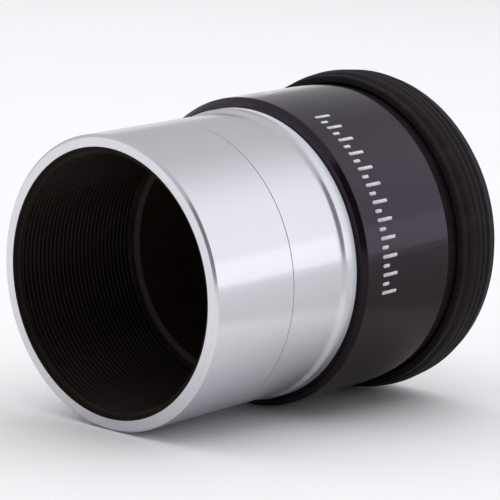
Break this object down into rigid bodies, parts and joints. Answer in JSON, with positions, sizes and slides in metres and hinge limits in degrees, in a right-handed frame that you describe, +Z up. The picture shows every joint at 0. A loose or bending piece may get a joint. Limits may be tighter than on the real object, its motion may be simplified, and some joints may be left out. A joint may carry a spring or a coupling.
{
  "type": "telescope eyepiece",
  "caption": "Short telescope eyepiece with a silver nosepiece, a threaded bore, a gloss black body and a folding ribbed rubber eyecup.",
  "frame": {"origin": "on the optical axis where the 1.25 inch barrel ends and the seating cone begins, which is the plane that the eyepiece sits by in a focuser", "axes": "+Y along the optical axis from the open nosepiece to the eye end, +Z up, +X across"},
  "size_m": [0.037, 0.0446, 0.037],
  "materials": {
    "silver_barrel": "fine turned and bright anodised",
    "dull_black": "matte anti-reflection black, anodised",
    "gloss_black": "gloss black lacquer over aluminium",
    "satin_black": "satin black anodised",
    "black_rubber": "moulded, slightly sheened",
    "white_print": "pad-printed ink, satin",
    "lens_glass": "polished, blue anti-reflection coating"
  },
  "bodies": {
    "barrel": {"front_sleeve": "silver_barrel", "rear_sleeve": "silver_barrel", "threaded_liner": "dull_black", "field_tube": "dull_black", "field_stop_ring": "dull_black", "lens_cell": "dull_black", "lens_retaining_ring": "dull_black", "field_flint_lens": "lens_glass", "field_crown_lens": "lens_glass", "lens_spacer": "dull_black", "eye_crown_lens": "lens_glass", "eye_flint_lens": "lens_glass", "body_shell": "gloss_black", "eye_cap": "satin_black"},
    "eyecup": {"eyecup_base": "black_rubber"},
    "skirt": {"eyecup_skirt": "black_rubber"}
  },
  "joints": [
    {"name": "eyecup_turn", "type": "hinge", "parent": "barrel", "child": "eyecup", "pos_m": [0, 0.0208, 0], "axis": [0, 1, 0], "continuous": true},
    {"name": "skirt_raise", "type": "slide", "parent": "eyecup", "child": "skirt", "axis": [0, 1, 0], "range_m": [0, 0.0056]}
  ]
}
